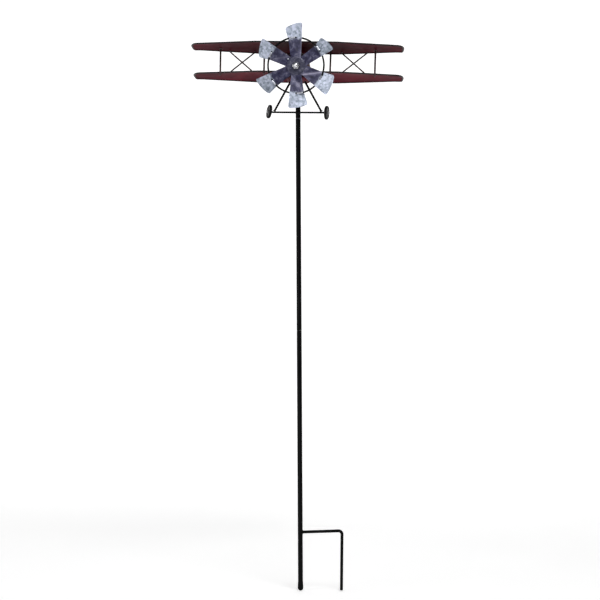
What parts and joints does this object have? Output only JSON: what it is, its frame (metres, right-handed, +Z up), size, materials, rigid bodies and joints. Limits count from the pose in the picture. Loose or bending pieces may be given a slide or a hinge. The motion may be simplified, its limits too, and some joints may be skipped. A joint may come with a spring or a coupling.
{
  "type": "whirligig",
  "caption": "Biplane whirligig on a garden pole: the plane swings to the wind while its ringed propeller and its wheels spin.",
  "frame": {"origin": "tip of the pole's pinched foot, on the pole's axis", "axes": "+Z up along the pole, -Y towards the plane's nose at rest, +X to the plane's left-hand wing as its pilot sits, which is the right as seen from in front"},
  "size_m": [0.6808, 0.5456, 1.8061],
  "materials": {
    "black_paint": "satin powder coat",
    "maroon_paint": "satin enamel with darker edges",
    "strut_paint": "satin dark brown enamel",
    "galvanised": "mottled zinc with blued roots",
    "blued_steel": "mottled blue-black",
    "chrome": "polished",
    "steel": "plain zinc-plated",
    "nylon": "black",
    "rubber": "matt",
    "wheel_grey": "worn grey"
  },
  "bodies": {
    "stand": {"lower_pole": "black_paint", "upper_pole": "black_paint", "pole_spigot": "steel", "step_peg": "black_paint", "pivot_spindle": "steel", "thrust_washer": "nylon"},
    "airplane": {"swivel_sleeve": "black_paint", "lower_bush": "nylon", "upper_bush": "nylon", "fuselage_left": "maroon_paint", "fuselage_right": "maroon_paint", "nose_plate": "maroon_paint", "bearing_tube": "steel", "tailplane": "maroon_paint", "tail_fin": "maroon_paint", "upper_wing": "maroon_paint", "lower_wing_left": "maroon_paint", "lower_wing_right": "maroon_paint", "axle": "black_paint", "inner_strut_left": "strut_paint", "outer_strut_left": "strut_paint", "brace_rising_left": "strut_paint", "brace_falling_left": "strut_paint", "gear_leg_left": "black_paint", "wheel_washer_left": "steel", "wheel_cap_left": "steel", "inner_strut_right": "strut_paint", "outer_strut_right": "strut_paint", "brace_rising_right": "strut_paint", "brace_falling_right": "strut_paint", "gear_leg_right": "black_paint", "wheel_washer_right": "steel", "wheel_cap_right": "steel"},
    "rotor": {"rotor_shaft": "steel", "shaft_collar": "steel", "spacer_washer": "steel", "rear_hub_plate": "blued_steel", "front_hub_plate": "blued_steel", "front_washer": "blued_steel", "acorn_nut": "chrome", "rotor_ring": "black_paint", "blade_1": "galvanised", "blade_2": "galvanised", "blade_3": "galvanised", "blade_4": "galvanised", "blade_5": "galvanised", "blade_6": "galvanised", "hub_rivet_1": "chrome", "hub_rivet_2": "chrome", "hub_rivet_3": "chrome", "hub_rivet_4": "chrome", "hub_rivet_5": "chrome", "hub_rivet_6": "chrome"},
    "wheel_left": {"tyre_left": "rubber", "wheel_disc_left": "wheel_grey"},
    "wheel_right": {"tyre_right": "rubber", "wheel_disc_right": "wheel_grey"}
  },
  "joints": [
    {"name": "plane_yaw", "type": "hinge", "parent": "stand", "child": "airplane", "pos_m": [0, 0, 1.5245], "axis": [0, 0, 1], "continuous": true},
    {"name": "propeller_spin", "type": "hinge", "parent": "airplane", "child": "rotor", "pos_m": [0, -0.1079, 1.676], "axis": [0, -1, 0], "continuous": true},
    {"name": "wheel_left_spin", "type": "hinge", "parent": "airplane", "child": "wheel_left", "pos_m": [-0.0921, -0.0157, 1.54381], "axis": [-0.9305, -0.3387, 0.1392], "continuous": true},
    {"name": "wheel_right_spin", "type": "hinge", "parent": "airplane", "child": "wheel_right", "pos_m": [0.09269, -0.014, 1.53809], "axis": [0.9758, -0.2074, -0.0698], "continuous": true}
  ]
}
